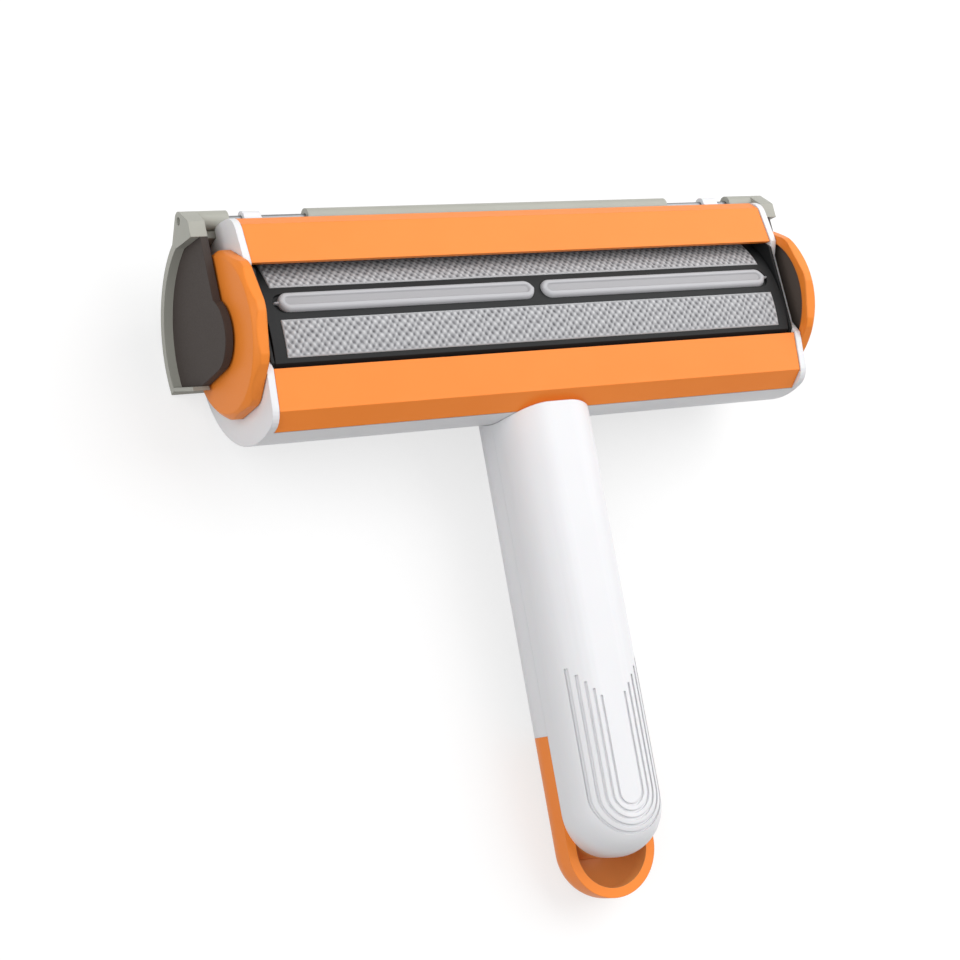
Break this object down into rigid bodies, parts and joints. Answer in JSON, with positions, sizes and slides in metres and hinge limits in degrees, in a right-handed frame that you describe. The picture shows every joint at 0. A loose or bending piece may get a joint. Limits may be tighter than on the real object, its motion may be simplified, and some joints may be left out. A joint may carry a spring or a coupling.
{
  "type": "pet hair removal brush",
  "caption": "T-shaped reusable pet hair brush with a rocking fabric drum in a window, end knobs, a hinged hair chamber lid and a round handle with a hanging loop.",
  "frame": {"origin": "middle of the bounding box on the floor plane, on which the brush lies with its fabric window facing up", "axes": "+X along the head, +Y from the handle's loop to the lid's hinge, +Z out of the fabric window"},
  "size_m": [0.196, 0.202, 0.0518],
  "materials": {
    "white_plastic": "satin",
    "orange_plastic": "satin",
    "grey_plastic": "satin",
    "dark_plastic": "satin",
    "black_plastic": "satin",
    "bearing_plastic": "satin",
    "soft_strip": "matte",
    "silver_blade": "soft satin, silver coloured",
    "lint_fabric": "diagonal pile, silver grey",
    "steel": "bright"
  },
  "bodies": {
    "head": {"housing": "white_plastic", "upper_panel": "orange_plastic", "lower_panel": "orange_plastic", "upper_scraper": "soft_strip", "lower_scraper": "soft_strip", "left_bush": "bearing_plastic", "right_bush": "bearing_plastic", "hinge_pin": "steel", "handle_front": "white_plastic", "handle_rear": "white_plastic", "tail_loop": "orange_plastic", "handle_screws": "steel", "neck_screw": "steel"},
    "drum_body": {"drum": "black_plastic", "upper_fabric": "lint_fabric", "lower_fabric": "lint_fabric", "left_blade": "silver_blade", "right_blade": "silver_blade", "left_knob": "orange_plastic", "right_knob": "orange_plastic", "left_knob_screw": "steel", "right_knob_screw": "steel"},
    "lid_body": {"lid_shell": "grey_plastic", "left_lid_plate": "dark_plastic", "right_lid_plate": "dark_plastic"}
  },
  "joints": [
    {"name": "drum_rock", "type": "hinge", "parent": "head", "child": "drum_body", "pos_m": [0, 0.06536, 0.0292], "axis": [1, 0, 0], "range_deg": [0, 30]},
    {"name": "lid_open", "type": "hinge", "parent": "head", "child": "lid_body", "pos_m": [0, 0.09836, 0.029], "axis": [1, 0, 0], "range_deg": [0, 110]}
  ]
}
